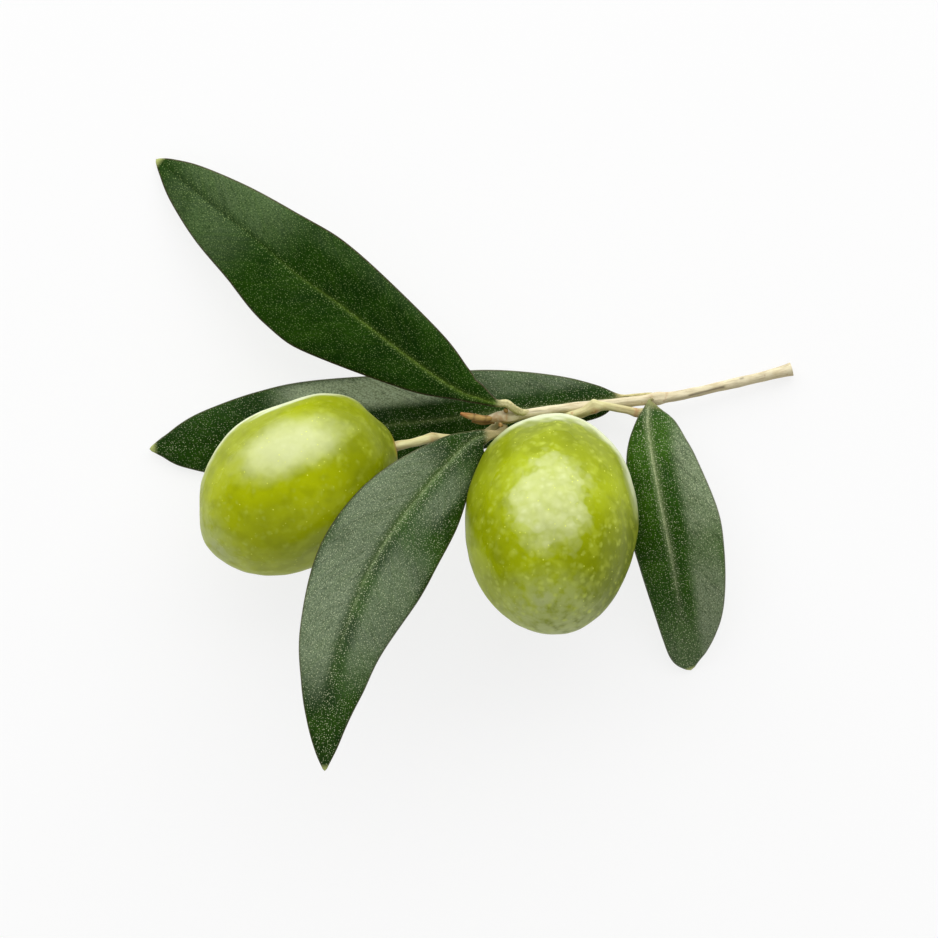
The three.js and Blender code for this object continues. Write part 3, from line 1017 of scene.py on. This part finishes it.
@dataclass
class Leaf(Piece):
    """A leaf and its petiole: one closed skin, grooved above and ribbed beneath."""

    stations: Rows
    face: LeafFace
    blade_from: float
    seed: int
    blade_fade: float = 1.3
    ring_spacing: float = 0.26
    half_columns: int = 24
    evenness: float = 0.3
    edge_radius: float = 0.34
    table_gap: float = 0.02
    groove: float = 0.07
    groove_width: float = 0.26
    shoulder: float = 0.35
    shoulder_place: float = 2.6
    rib: float = 0.4
    rib_width: float = 0.45
    curl: float = 0.1
    curl_width: float = 0.5
    wave: float = 0.06
    wave_spacing: float = 11.0
    wave_fade: tuple[float, float] = (0.5, 5.0)
    dimple: float = 0.025
    dimple_spacing: float = 2.6
    dimple_fade: tuple[float, float] = (0.1, 1.0)

    slot = Slot.LEAF

    def section(self) -> tuple[Array, Array]:
        """Places round the section, closer together at the midrib and the margins.

        Returns:
            The share of the reach, 1 at the left margin and -1 at the right, and the face, 1
            above and -1 beneath.
        """
        part = np.linspace(0, 1, self.half_columns + 1)
        out = 1 - (self.evenness * part + (1 - self.evenness) * ease(part, 0, 1))
        above = np.concatenate([out, -out[-2::-1]])
        beneath = above[::-1][1:-1]
        return np.concatenate([above, beneath]), np.repeat([1.0, -1.0], [above.size, beneath.size])

    def build(self) -> Shape:
        """Builds the leaf's skin.

        Returns:
            The skin, with the faces that look down on the second material.
        """
        curve = Curve(self.stations)
        share, face = self.section()
        rings = int(curve.length / self.ring_spacing)
        travelled = np.linspace(0, curve.length, rings)
        steps = curve.steps_at(travelled)
        columns = curve.columns(steps)
        heading = curve.headings(steps)
        to_left = unit(np.stack([-heading[:, 1], heading[:, 0], np.zeros(rings)], axis=1))
        reach, lift, crown = (np.where(share > 0, columns[:, left:left + 1],
                                       columns[:, left + 1:left + 2]) for left in (3, 5, 7))
        out = np.abs(share)
        across, edge = share * reach, (1 - out) * reach
        points = columns[:, None, :3] + across[..., None] * to_left[:, None]
        blade = ease(travelled, self.blade_from, self.blade_from + self.blade_fade)[:, None]
        tipwards = (travelled / curve.length)[:, None]
        points[..., 2] += out * lift + 4 * out * (1 - out) * crown
        points[..., 2] += face * columns[:, 9:10] / 2 * self.rounding(edge, reach)
        fading = blade * (1 - tipwards ** 3)
        points[..., 2] += fading * self.relief(points, across, edge, face)
        points[..., 2] = np.maximum(points[..., 2], self.table_gap)
        none = np.zeros_like(across)
        skin = roll_up(points, {
            "leaf": np.stack([across, none + travelled[:, None], edge], axis=-1),
            "part": np.stack([none + blade, none + tipwards, none], axis=-1)})
        for polygon in skin.faces:
            polygon.material_index = int(polygon.normal.z < 0)
        return skin

    def rounding(self, edge: Array, reach: Array) -> Array:
        """Share of the thickness at a distance from the margin, which is rounded.

        Args:
            edge: Distance from the margin.
            reach: Distance from the midrib to the margin.

        Returns:
            The share, 0 at the margin.
        """
        radius = np.maximum(np.minimum(reach, self.edge_radius), TINY)
        inwards = np.clip(edge / radius, 0, 1)
        return np.sqrt(np.maximum(1 - (1 - inwards) ** 2, 0))

    def relief(self, points: Array, across: Array, edge: Array, face: Array) -> Array:
        """Height of the groove, rib, curled margin and unevenness.

        Args:
            points: Places of the skin.
            across: Distance from the midrib, positive to the left.
            edge: Distance from the margin.
            face: 1 above and -1 beneath.

        Returns:
            What is added to each height.
        """
        off = np.abs(across)
        groove = self.groove * bell(across, self.groove_width)
        beside = off - self.shoulder_place * self.groove_width
        shoulder = self.shoulder * self.groove * bell(beside, self.groove_width)
        above = (face > 0) * (shoulder - groove)
        beneath = (face < 0) * self.rib * bell(across, self.rib_width)
        flat = points * (1, 1, 0)
        waves = self.wave * Ripples(self.seed, self.wave_spacing).height(flat)
        dimples = self.dimple * Ripples(self.seed + 1, self.dimple_spacing).height(flat)
        curled = self.curl * bell(edge, self.curl_width)
        waves = waves * ease(off, *self.wave_fade)
        dimples = dimples * ease(off, *self.dimple_fade)
        return above - beneath + waves + dimples - curled

    def finishes(self) -> list[Material]:
        """The upper face and the underside."""
        return [self.face.make(), LeafUnderside().make()]


@dataclass(frozen=True)
class Mark:
    """A scar, crack or swelling along a short line of the bark."""

    start: Place
    end: Place
    width: float
    height: float = 0.0
    dark: float = 0.0
    rust: float = 0.0

    def strength(self, points: Array) -> Array:
        """How strongly the mark is felt.

        Args:
            points: Places of the bark, in millimetres.

        Returns:
            The strength at each place, 1 on the mark's own line.
        """
        start, line = np.array(self.start), np.subtract(self.end, self.start)
        reached = np.clip((points - start) @ line / max(line @ line, TINY), 0, 1)
        away = np.linalg.norm(points - start - reached[..., None] * line, axis=-1)
        return bell(away, self.width)


@dataclass
class Stem(Piece):
    """A round stem with ribs along it, swellings, scars and a rounded or cut end."""

    stations: Rows
    bark: Bark
    seed: int
    marks: tuple[Mark, ...] = ()
    sides: int = 40
    ring_spacing: float = 0.14
    rib: float = 0.03
    rib_spacing: float = 0.8
    rib_stretch: float = 0.14
    knobble: float = 0.018
    knobble_spacing: float = 2.0
    dome: float = 0.6
    dish: float = 0.05
    cut: bool = False
    cut_depth: float = 0.12
    cut_facing: float = 0.7

    def rings(self) -> tuple[Array, Array]:
        """Lengths travelled at the rings, and how open each ring is.

        Returns:
            Both, with the rings of the two ends drawn in.
        """
        length = Curve(self.stations).length
        body = np.linspace(0, length, int(length / self.ring_spacing))
        round_end = np.array([0.97, 0.85, 0.6, 0.3, 0.02])
        cut_end = np.array([0.02, 0.16, 0.2, 0.5, 0.8, 0.9, 0.94, 0.985])
        first = cut_end if self.cut else round_end[::-1]
        travelled = np.concatenate([np.zeros(first.size), body, np.full(round_end.size, length)])
        return travelled, np.concatenate([first, np.ones(body.size), round_end])

    def build(self) -> Shape:
        """Builds the stem's skin.

        Returns:
            The skin, with the face of a cut on the second material.
        """
        curve = Curve(self.stations)
        travelled, opening = self.rings()
        steps = curve.steps_at(travelled)
        columns = curve.columns(steps)
        heading = curve.headings(steps)
        side = unit(np.cross([0, 0, 1], heading))
        top = np.cross(heading, side)
        turn = np.arange(self.sides) / self.sides * 2 * math.pi
        outwards = side[:, None] * np.cos(turn)[:, None] + top[:, None] * np.sin(turn)[:, None]
        middle, radius = columns[:, None, :3], columns[:, 3:4]
        bare = middle + outwards * columns[:, None, 3:4]
        grain = np.stack([
            self.rib_stretch * travelled[:, None] * np.ones(self.sides),
            radius * np.cos(turn), radius * np.sin(turn),
        ], axis=-1)
        radius = radius * np.ones(self.sides)
        ribs = Ripples(self.seed, self.rib_spacing).height(grain)
        radius = radius + self.rib * ribs * opening[:, None]
        radius = radius + self.knobble * Ripples(self.seed + 1, self.knobble_spacing).height(bare)
        dark, rust = np.zeros_like(radius), np.zeros_like(radius)
        for mark in self.marks:
            strength = mark.strength(bare)
            radius = radius + mark.height * strength
            dark = np.maximum(dark, mark.dark * strength)
            rust = np.maximum(rust, mark.rust * strength)
        points = middle + outwards * (radius * opening[:, None])[..., None]
        points = points + self.rounded_ends(opening, heading, columns[:, 3])[:, None]
        points[..., 2] = np.maximum(points[..., 2], 0.0)
        # painted shade: how far each place faces -Y, where shade falls
        low = ease(-outwards[..., 1], -0.1, 0.9)
        skin = roll_up(points, {"grain": grain, "marks": np.stack([dark, rust, low], axis=-1)})
        if self.cut:
            self.bare_the_cut(skin, columns[0, :3] * MM, heading[0])
        return skin

    def rounded_ends(self, opening: Array, heading: Array, radius: Array) -> Array:
        """How far each ring moves along the stem to round or cut its ends.

        Args:
            opening: How open each ring is.
            heading: Direction of travel.
            radius: Radius of the stem.

        Returns:
            The move of each ring.
        """
        bulge = np.sqrt(np.maximum(1 - opening ** 2, 0)) * radius * self.dome
        half = opening.size // 2
        bulge[:half] *= -1
        if self.cut:
            bulge[:half] = self.dish * ease(0.96 - opening[:half], 0, 0.1)
        return bulge[:, None] * heading

    def bare_the_cut(self, skin: Shape, middle: Array, heading: Array) -> None:
        """Puts the cut face on the second material.

        Args:
            skin: The stem's skin.
            middle: Middle of the cut, in metres.
            heading: Direction of the stem there.
        """
        for face in skin.faces:
            near = (np.array(face.calc_center_median()) - middle) @ heading
            back = -face.normal.dot(heading)
            face.material_index = int(near < self.cut_depth * MM and back > self.cut_facing)

    def finishes(self) -> list[Material]:
        """The bark, and the bare wood where the stem is cut."""
        return [self.bark.make(), CutWood().make()] if self.cut else [self.bark.make()]


@dataclass
class FruitStalk(Stem):
    """A fruit's stalk."""

    slot = Slot.STALK


@dataclass
class Bud(Stem):
    """A bud or one of its small leaves, a pointed spindle."""

    sides: int = 28
    ring_spacing: float = 0.07
    rib: float = 0.035
    knobble: float = 0.02

    slot = Slot.BUD


@dataclass(frozen=True)
class Direction:
    """A direction from an olive's middle: a compass bearing and a height, in degrees."""

    bearing: float
    rise: float = 0.0

    def vector(self) -> Array:
        """Turns the two angles into a vector.

        Returns:
            The unit vector.
        """
        turn, lift = math.radians(self.bearing), math.radians(self.rise)
        flat = math.cos(lift)
        return np.array([flat * math.cos(turn), flat * math.sin(turn), math.sin(lift)])

    def closeness(self, outwards: Array, spread: float) -> Array:
        """A bell curve about the direction, with its spread in degrees."""
        facing = np.clip(outwards @ self.vector(), -1, 1)
        return bell(np.degrees(np.arccos(facing)), spread)


@dataclass
class Olive(Piece):
    """An olive: an egg of revolution made uneven, hollowed at its stalk and nipped at its tip.

    Each swelling is a bearing, a spread in degrees and a height, negative for a flat.
    """

    centre: Place
    half_length: float
    radius: float
    axis: Direction
    stalk: Direction
    tip: Direction
    skin: OliveSkin
    seed: int
    swellings: Rows
    sides: int = 144
    bands: int = 112
    tip_draw: float = 0.03
    tip_draw_power: int = 8
    tip_spread: float = 5.0
    hollow_depth: float = 0.55
    hollow_spread: float = math.degrees(0.15)
    nip: float = 0.05
    nub_power: int = 12
    lump: float = 0.05
    lump_spacing: float = 8.0
    pit: float = 0.012
    pit_spacing: float = 2.2

    slot = Slot.OLIVE

    def build(self) -> Shape:
        """Builds the olive's skin from a sphere.

        Returns:
            The skin.
        """
        turn = np.arange(self.sides) / self.sides * 2 * math.pi
        fall = np.linspace(0, math.pi, self.bands + 1)[:, None]
        along = np.cos(fall) + np.zeros(self.sides)
        draw = self.tip_draw * along ** self.tip_draw_power
        drawn = np.where(along > 0, along + draw, along)
        flat = [np.sin(fall) * np.cos(turn), np.sin(fall) * np.sin(turn)]
        ball = np.stack([*flat, along], axis=-1)
        axis = self.axis.vector()
        side = unit(np.cross([0, 0, 1], axis))
        turned = np.stack([side, np.cross(axis, side), axis])
        size = np.array([self.radius, self.radius, self.half_length])
        points = np.stack([*flat, drawn], axis=-1) * size @ turned
        outwards = unit(ball / size @ turned)
        seen = unit(points)
        hollow = self.stalk.closeness(seen, self.hollow_spread)
        tip = self.tip.closeness(seen, self.tip_spread)
        height = -self.hollow_depth * hollow
        for compass, spread, swell in self.swellings:
            height = height + swell * Direction(compass).closeness(seen, spread)
        height = height + self.lump * Ripples(self.seed, self.lump_spacing).height(points)
        height = height + self.pit * Ripples(self.seed + 1, self.pit_spacing).height(points)
        height = height - self.nip * tip + 2 * self.nip * tip ** self.nub_power
        points = points + outwards * height[..., None] + self.centre
        points[..., 2] = np.maximum(points[..., 2], 0.0)
        return roll_up(points, {"fruit": np.stack([along, hollow, tip], axis=-1)})

    def finishes(self) -> list[Material]:
        """The olive's skin."""
        return [self.skin.make()]


# ------------------------------------------------------------------ table, light and camera


@dataclass(frozen=True)
class Lamp:
    """A rectangular soft lamp that faces the branch.

    It hangs so many degrees to the left of straight behind the branch, so many degrees over the
    table and so many metres away, with its width and height in metres and its power in watts.
    """

    name: str
    turn: float
    rise: float
    distance: float
    width: float
    height: float
    power: float

    def hang(self, middle: Vector) -> None:
        """Hangs the lamp.

        Args:
            middle: Middle of the branch.
        """
        light = bpy.data.lights.new(self.name, "AREA")
        light.shape = "RECTANGLE"
        light.size, light.size_y = self.width, self.height
        light.energy = self.power
        hung = bpy.data.objects.new(self.name, light)
        bpy.context.scene.collection.objects.link(hung)
        away = Vector(Direction(self.turn + 90.0, self.rise).vector())
        hung.location = middle + away * self.distance
        hung.rotation_euler = away.to_track_quat("Z", "Y").to_euler()
        hung.visible_camera = False


@dataclass
class Studio:
    """A pale table, soft lamps and a camera that looks straight down."""

    middle: Vector
    floor_level: float
    lamps: tuple[Lamp, ...] = (Lamp("key_softbox", 0.0, 34.0, 0.9, 2.07, 1.12, 18.2),
                               Lamp("low_fill", 180.0, 32.0, 0.9, 2.4, 1.3, 3.6))
    table_side: float = 8.0
    table_gap: float = 0.00002
    table_white: Colour = (0.88, 0.88, 0.88, 1.0)
    table_light: float = 0.8
    wall_top: tuple[float, float] = (0.05, 0.15)
    ceiling_light: float = 0.28
    camera_distance: float = 3.0
    frame_width: float = 0.11725
    focus_height: float = 0.006
    aim: tuple[float, float] = (-0.0003, -0.0007)

    def make(self) -> None:
        """Sets the whole studio up."""
        self.lay_table()
        self.light_world()
        for lamp in self.lamps:
            lamp.hang(self.middle)
        self.set_camera()
        bpy.context.scene.view_settings.view_transform = "Standard"

    def lay_table(self) -> None:
        """Lays the white table, which keeps the branch's shadow."""
        shape = bmesh.new()
        bmesh.ops.create_grid(shape, x_segments=1, y_segments=1, size=self.table_side / 2)
        level = self.floor_level - self.table_gap
        bmesh.ops.translate(shape, verts=shape.verts, vec=(self.middle.x, self.middle.y, level))
        put_in_scene("table_top", shape, [self.table_paint()])

    def table_paint(self) -> Material:
        """White paint that the camera, mirrors and glass see as a white background.

        Returns:
            The material.
        """
        sheet = Sheet("white_table_paint")
        paint = sheet.node("BsdfDiffuse", {"Color": self.table_white}).outputs[0]
        glow = sheet.node("Emission", {"Color": WHITE, "Strength": 1.0}).outputs[0]
        path = sheet.node("LightPath", {}).outputs
        seen = sheet.sum("MAXIMUM", path["Is Camera Ray"], path["Is Glossy Ray"])
        seen = sheet.sum("MAXIMUM", seen, path["Is Transmission Ray"])
        both = sheet.node("MixShader", {0: sheet.times(seen, self.table_light), 1: paint, 2: glow})
        sheet.feed(sheet.tree.nodes["Material Output"].inputs["Surface"], both.outputs[0])
        sheet.tree.nodes.remove(sheet.shader)
        return sheet.material

    def light_world(self) -> None:
        """Makes the world a white wall all round under a dim ceiling."""
        world = bpy.data.worlds.new("white_wall_and_ceiling")
        world.use_nodes = True
        bpy.context.scene.world = world
        nodes = Nodes(world.node_tree)
        background = nodes.tree.nodes["Background"].inputs
        way = nodes.node("TexCoord", {}).outputs["Generated"]
        height = nodes.node("SeparateXYZ", {0: way}).outputs["Z"]
        low, high = self.wall_top
        feeds = {"Value": height, "From Min": low, "From Max": high, "To Min": 1.0,
                 "To Max": self.ceiling_light}
        nodes.feed(background["Color"], WHITE)
        nodes.feed(background["Strength"], nodes.node("MapRange", feeds).outputs[0])

    def set_camera(self) -> None:
        """Sets the camera over the branch, with +Y up in the frame."""
        lens = bpy.data.cameras.new("camera")
        lens.lens = lens.sensor_width * self.camera_distance / self.frame_width
        lens.clip_end = 3 * self.camera_distance
        camera = bpy.data.objects.new("camera", lens)
        bpy.context.scene.collection.objects.link(camera)
        camera.location = (self.middle.x + self.aim[0], self.middle.y + self.aim[1],
                           self.floor_level + self.focus_height + self.camera_distance)
        bpy.context.scene.camera = camera


# ------------------------------------------------------------------ the branch


TWIG_BARK = Bark("grey_olive_bark", tone(217, 207, 174), tone(182, 168, 134), tone(184, 166, 122))
STALK_SKIN = Bark("pale_stalk_skin", tone(200, 195, 142), tone(178, 168, 112),
                  tone(176, 156, 112), rust=tone(170, 116, 76), bare_roughness=0.5, depth=0.05)
BUD_SCALE = Bark("rusty_bud_scale", tone(182, 150, 88), tone(128, 84, 40), tone(108, 76, 36),
                 rust=tone(168, 104, 54), bare_roughness=0.7, depth=0.06)

TWIG_MARKS = (
    Mark((27.3, 8.5, 2.75), (31.6, 9.55, 2.33), 0.12, -0.08, dark=0.7),
    Mark((33.7, 10.6, 2.0), (33.95, 10.7, 2.0), 0.16, -0.05, dark=0.6),
    Mark((24.3, 8.1, 3.3), (24.5, 8.9, 3.0), 0.14, 0.06, rust=0.6),
    Mark((22.4, 7.4, 3.4), (22.5, 8.4, 3.4), 0.18, 0.08, rust=0.5),
    Mark((6.6, 6.45, 6.1), (12.1, 6.6, 4.95), 0.1, -0.05, dark=0.35),
    Mark((4.3, 5.2, 6.9), (4.4, 6.3, 7.0), 0.22, 0.1, rust=0.7),
    Mark((3.6, 5.6, 7.0), (2.0, 5.6, 7.0), 0.8, 0.0, rust=0.6),
)
RIGHT_STALK_MARKS = (
    Mark((12.7, 5.7, 5.4), (12.5, 6.7, 5.3), 0.2, 0.08, rust=0.8),
    Mark((15.3, 7.5, 5.5), (15.3, 7.9, 5.3), 0.4, 0.25),
    Mark((15.4, 6.45, 5.7), (15.7, 6.4, 5.65), 0.42, 0.03, rust=1.0),
    Mark((20.5, 6.1, 4.6), (20.7, 6.8, 4.6), 0.4, 0.05, rust=0.95),
)
LEFT_STALK_MARKS = (
    Mark((-4.8, 3.7, 9.3), (-4.6, 3.7, 9.3), 0.35, 0.12, rust=0.4),
    Mark((-4.9, 3.1, 9.5), (-4.7, 2.7, 9.3), 0.4, 0.0, rust=0.55),
    Mark((-9.2, 2.5, 11.0), (-9.2, 1.8, 11.0), 0.3, 0.05, rust=0.3),
)
BUD_MARKS = (
    Mark((-1.3, 6.3, 7.4), (-0.7, 6.1, 7.4), 0.4, 0.0, rust=0.8),
    Mark((0.4, 6.1, 7.4), (0.3, 5.5, 7.4), 0.14, -0.05, dark=0.5),
    Mark((1.9, 5.9, 7.2), (1.7, 5.3, 7.2), 0.14, -0.05, dark=0.5),
)

# The faces' patches lay painted sheen where the lamp's reflection would show.
UPPER_FACE = LeafFace(
    "upper_leaf_face", midrib=tone(128, 156, 62), midrib_width=0.2, midrib_strength=0.55,
    midrib_reach=0.8, margin=tone(74, 52, 44), petiole=tone(204, 198, 148),
    scale=tone(160, 184, 116), painted_sheen=tone(112, 134, 92), gloss=0.03, dust=0.55,
    patches=(SheenPatch(1, 44, 56, -0.5, 5.5, 0.36), SheenPatch(-1, 40, 56, 0.2, 5.5, 0.44),
             SheenPatch(-1, 18, 38, 4.2, 6.4, 0.1)))
BACK_FACE = LeafFace(
    "back_leaf_face", deep=tone(18, 45, 3), fresh=tone(31, 63, 5), midrib_strength=0.45,
    petiole=tone(196, 188, 134), painted_sheen=tone(180, 194, 162), gloss=0.06, dust=0.5,
    patches=(SheenPatch(-1, 8, 23, 1.6, 6.0, 0.18), SheenPatch(-1, 27, 46, 2.2, 6.0, 1.0)))
FRONT_FACE = LeafFace(
    "front_leaf_face", fresh=tone(38, 70, 6), midrib=tone(144, 164, 110), midrib_width=0.3,
    midrib_strength=0.5, petiole=tone(168, 156, 112), gloss=0.12,
    patches=(SheenPatch(-1, 12, 46, 0.4, 6.2, 0.95), SheenPatch(1, 10, 20, 0.9, 3.7, 0.6),
             SheenPatch(1, 25, 44, 1.0, 6.5, 0.62)))
RIGHT_FACE = LeafFace(
    "right_leaf_face", deep=tone(36, 72, 4), fresh=tone(56, 96, 8), midrib=tone(170, 180, 136),
    midrib_width=0.27, midrib_strength=0.95, margin=tone(84, 84, 62),
    petiole=tone(124, 130, 78), painted_sheen=tone(128, 142, 110), gloss=0.12, dust=0.95,
    patches=(SheenPatch(1, 5, 20, 2.4, 7.0, 0.9), SheenPatch(1, 22, 40, 1.8, 6.0, 0.95),
             SheenPatch(1, 30, 44, -3.0, 3.0, 0.35)))

LEFT_CENTRE: Place = (-21.9, -2.65, 10.95)
RIGHT_CENTRE: Place = (10.0, -7.45, 12.25)
LEFT_SKIN = OliveSkin(
    "left_olive_skin", LEFT_CENTRE, shade_towards=(0.65, -0.35, -0.2), shade_share=0.42,
    highlight_at=(-1.2, 4.8, 8.8), highlight_reach=(8.2, 4.0, 5.0), highlight_turn=20.0, highlight_share=0.9,
    highlight_fade=1.0, sheen_towards=(-0.5, 0.85, 0.0), sheen_width=0.31, grain=0.25, ruddy=0.8,
    green=tone(146, 157, 0), bright=tone(168, 179, 0))
RIGHT_SKIN = OliveSkin(
    "right_olive_skin", RIGHT_CENTRE, shade_towards=(0.7, -0.65, -0.3),
    highlight_at=(-0.4, 3.2, 10.4), highlight_reach=(5.5, 7.8, 6.0), speck=0.25)
LEFT_SWELLINGS: Rows = ((98, 18, -0.4), (139, 22, 0.25), (196, 14, -0.35), (222, 12, -0.15),
                        (60, 12, 0.25), (43, 8, -0.4), (6, 12, 0.25), (22, 12, 0.5))
RIGHT_SWELLINGS: Rows = ((249, 16, -0.05), (291, 16, 0.15), (329, 16, -0.25), (38, 16, 0.15),
                         (121, 16, 0.25), (100, 12, -0.25))


def pieces() -> list[Piece]:
    """Describes the branch.

    Returns:
        Every piece, in the order of making.
    """
    return [
        Stem("twig_with_bark", "twig", TWIG, TWIG_BARK, 11, TWIG_MARKS, cut=True),
        Leaf("leaf_upper", "upper_leaf", UPPER_LEAF, UPPER_FACE, 4.6, 21),
        Leaf("leaf_back", "back_leaf", BACK_LEAF, BACK_FACE, 4.4, 22),
        Leaf("leaf_front", "front_leaf", FRONT_LEAF, FRONT_FACE, 2.9, 23),
        Leaf("leaf_right", "right_leaf", RIGHT_LEAF, RIGHT_FACE, 1.2, 24),
        Olive("olive_left", "left_olive", LEFT_CENTRE, 13.3, 10.2, Direction(216.0),
              Direction(20.6, -1.0), Direction(219.0, 16.0), LEFT_SKIN, 31, LEFT_SWELLINGS,
              hollow_depth=0.12),
        Olive("olive_right", "right_olive", RIGHT_CENTRE, 15.0, 10.8, Direction(269.0, 35.0),
              Direction(91.0, -40.0), Direction(263.8, 49.0), RIGHT_SKIN, 32, RIGHT_SWELLINGS),
        FruitStalk("stalk_left", "left_fruit_stalk", LEFT_STALK, STALK_SKIN, 41,
                   LEFT_STALK_MARKS),
        FruitStalk("stalk_right", "right_fruit_stalk", RIGHT_STALK, STALK_SKIN, 42,
                   RIGHT_STALK_MARKS),
        Bud("bud_leaf_long", "long_bud_leaf", LONG_BUD_LEAF, BUD_SCALE, 51, BUD_MARKS),
        Bud("bud_leaf_short", "short_bud_leaf", SHORT_BUD_LEAF, BUD_SCALE, 52),
        Bud("bud_upper", "upper_axillary_bud", UPPER_BUD, BUD_SCALE, 53),
        Bud("bud_lower", "lower_axillary_bud", LOWER_BUD, BUD_SCALE, 54),
    ]


def main() -> None:
    """Makes every piece and the studio."""
    logging.basicConfig(level=logging.INFO, format="%(name)s: %(message)s")
    for piece in pieces():
        piece.make()
    low, high = cad_box
    Studio(Vector(((low.x + high.x) / 2, (low.y + high.y) / 2, 0.0)), low.z).make()


if __name__ == "__main__":
    main()
